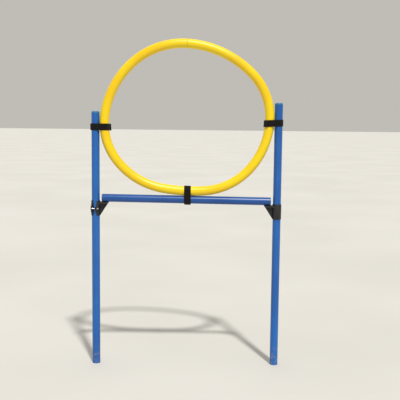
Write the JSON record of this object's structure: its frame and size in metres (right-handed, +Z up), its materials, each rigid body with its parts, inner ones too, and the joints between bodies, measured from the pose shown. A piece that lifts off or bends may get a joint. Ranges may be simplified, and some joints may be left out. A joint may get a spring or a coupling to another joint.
{
  "type": "agility hurdle",
  "caption": "Dog agility hurdle: two planted posts, a crossbar on clamped brackets and an oval jump-through hoop held by straps.",
  "frame": {"origin": "on the ground line, midway between the two posts' axes, in the hurdle's plane", "axes": "+X along the crossbar from the left post to the right post, +Y through the hoop away from the viewer of the front, +Z up"},
  "size_m": [0.7198, 0.0506, 1.4195],
  "materials": {
    "post_blue": "smooth extruded plastic tube, satin gloss, lightly scuffed",
    "cap_blue": "moulded plastic, satin gloss",
    "bar_blue": "smooth extruded plastic tube, glossy, sky sheen along its top",
    "hoop_yellow": "bent extruded plastic tube, satin gloss, warm yellow",
    "bracket_black": "moulded black plastic, fine grain",
    "plug_black": "moulded black plastic",
    "strap_webbing": "black loop webbing with a fine nap",
    "hook_tape": "black webbing with sewn edges and hook tape inside",
    "spike_steel": "drawn steel rod with a ground point",
    "screw_steel": "zinc plated"
  },
  "bodies": {
    "posts": {"left_post_tube": "post_blue", "right_post_tube": "post_blue", "left_post_cap": "cap_blue", "right_post_cap": "cap_blue", "left_spike_plug": "plug_black", "right_spike_plug": "plug_black", "left_ground_spike": "spike_steel", "right_ground_spike": "spike_steel"},
    "hoop_and_bar": {"crossbar_tube": "bar_blue", "crossbar_left_cap": "cap_blue", "crossbar_right_cap": "cap_blue", "hoop_tube": "hoop_yellow", "hoop_connector": "plug_black", "left_strap": "strap_webbing", "right_strap": "strap_webbing", "bottom_strap": "strap_webbing", "left_strap_tab": "hook_tape", "right_strap_tab": "hook_tape", "bottom_strap_tab": "hook_tape"},
    "left_clamp": {"left_bracket": "bracket_black", "left_clamp_screw": "screw_steel", "left_clamp_nut": "screw_steel"},
    "right_clamp": {"right_bracket": "bracket_black", "right_clamp_screw": "screw_steel", "right_clamp_nut": "screw_steel"}
  },
  "joints": [
    {"name": "height", "type": "slide", "parent": "posts", "child": "hoop_and_bar", "axis": [0, 0, 1], "range_m": [-0.5, 0.04]},
    {"name": "left_bracket_swivel", "type": "hinge", "parent": "hoop_and_bar", "child": "left_clamp", "pos_m": [-0.34221, 0, 0.6], "axis": [0, 0, 1], "range_deg": [-90, 90]},
    {"name": "right_bracket_swivel", "type": "hinge", "parent": "hoop_and_bar", "child": "right_clamp", "pos_m": [0.34221, 0, 0.6], "axis": [0, 0, 1], "range_deg": [-90, 90]}
  ]
}
